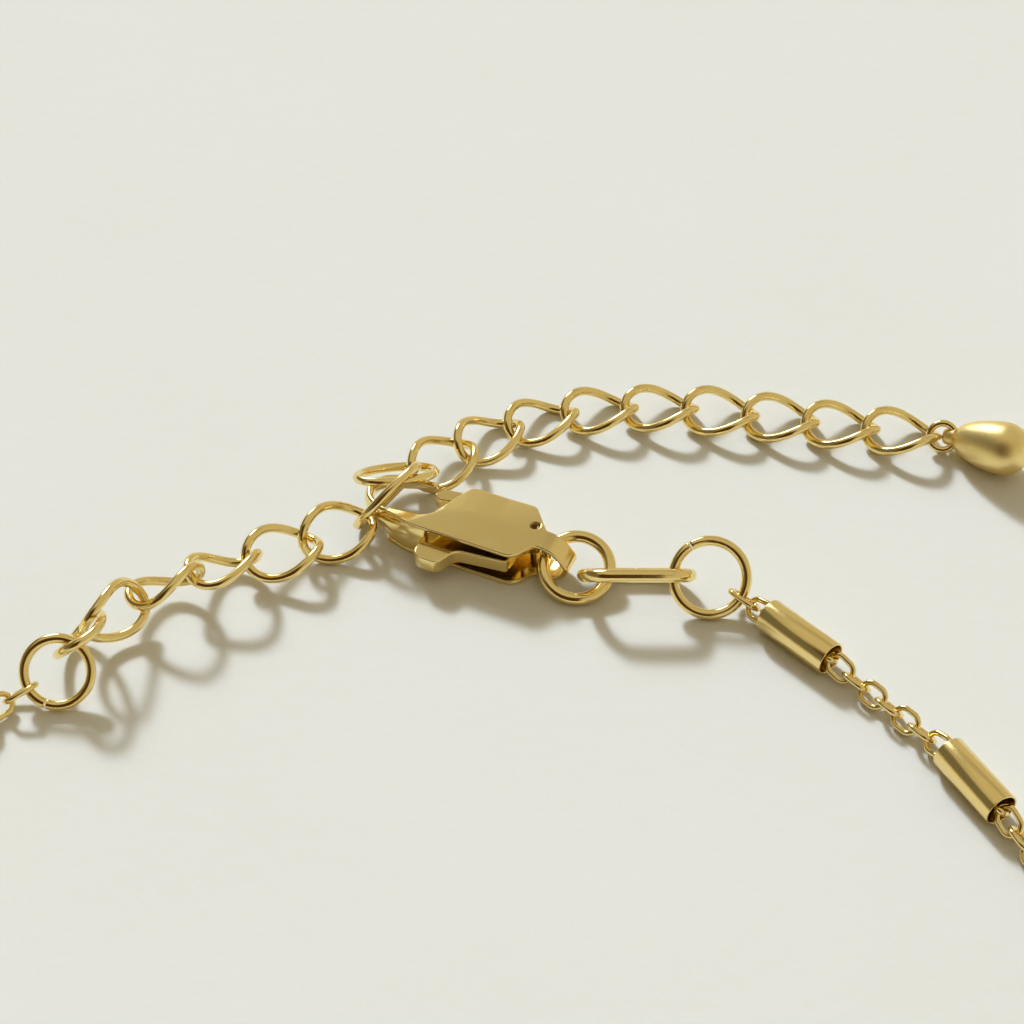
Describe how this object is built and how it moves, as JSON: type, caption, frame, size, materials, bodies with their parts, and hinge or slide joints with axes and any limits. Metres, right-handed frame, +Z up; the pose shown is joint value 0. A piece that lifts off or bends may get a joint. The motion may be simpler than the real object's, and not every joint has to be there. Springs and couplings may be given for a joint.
{
  "type": "chain bracelet",
  "caption": "Gold chain bracelet lying closed: fine chain with tube beads, jump rings, lobster clasp, and an extender of twisted oval links that ends in a teardrop drop.",
  "frame": {"origin": "centre of the bounding box's base, on the surface that the bracelet lies on", "axes": "+Z up from that surface, +X to the right and +Y away from the viewer of the picture"},
  "size_m": [0.052, 0.0618, 0.0031],
  "materials": {
    "polished gold plate": "polished gold plate",
    "satin gold plate": "satin gold plate",
    "brushed gold plate": "lengthwise brushed gold plate"
  },
  "bodies": {
    "bracelet": {"clasp_body": "polished gold plate", "clasp_rivet": "polished gold plate", "clasp_ring": "polished gold plate", "oval_ring": "polished gold plate", "round_ring": "polished gold plate", "end_ring": "polished gold plate", "drop_ring": "polished gold plate", "drop": "polished gold plate", "fine_chain": "polished gold plate", "extender_link_01": "polished gold plate", "extender_link_02": "polished gold plate", "extender_link_03": "polished gold plate", "extender_link_04": "polished gold plate", "extender_link_05": "polished gold plate", "extender_link_06": "polished gold plate", "extender_link_07": "polished gold plate", "extender_link_08": "polished gold plate", "extender_link_09": "polished gold plate", "extender_link_10": "polished gold plate", "extender_link_11": "polished gold plate", "extender_link_12": "polished gold plate", "extender_link_13": "polished gold plate", "extender_link_14": "polished gold plate", "extender_link_15": "polished gold plate", "extender_link_16": "polished gold plate", "extender_link_17": "polished gold plate", "tube_bead_01": "brushed gold plate", "tube_bead_02": "brushed gold plate", "tube_bead_03": "brushed gold plate", "tube_bead_04": "brushed gold plate", "tube_bead_05": "brushed gold plate", "tube_bead_06": "brushed gold plate", "tube_bead_07": "brushed gold plate", "tube_bead_08": "brushed gold plate", "tube_bead_09": "brushed gold plate", "tube_bead_10": "brushed gold plate", "tube_bead_11": "brushed gold plate", "tube_bead_12": "brushed gold plate"},
    "lever": {"clasp_lever": "satin gold plate"}
  },
  "joints": [
    {"name": "lever_hinge", "type": "hinge", "parent": "bracelet", "child": "lever", "pos_m": [0.00222, 0.02062, 0.00097], "axis": [0, 0, 1], "range_deg": [0, 18], "stiffness_Nm_per_rad": 0.002, "springref_deg": -17.19}
  ]
}
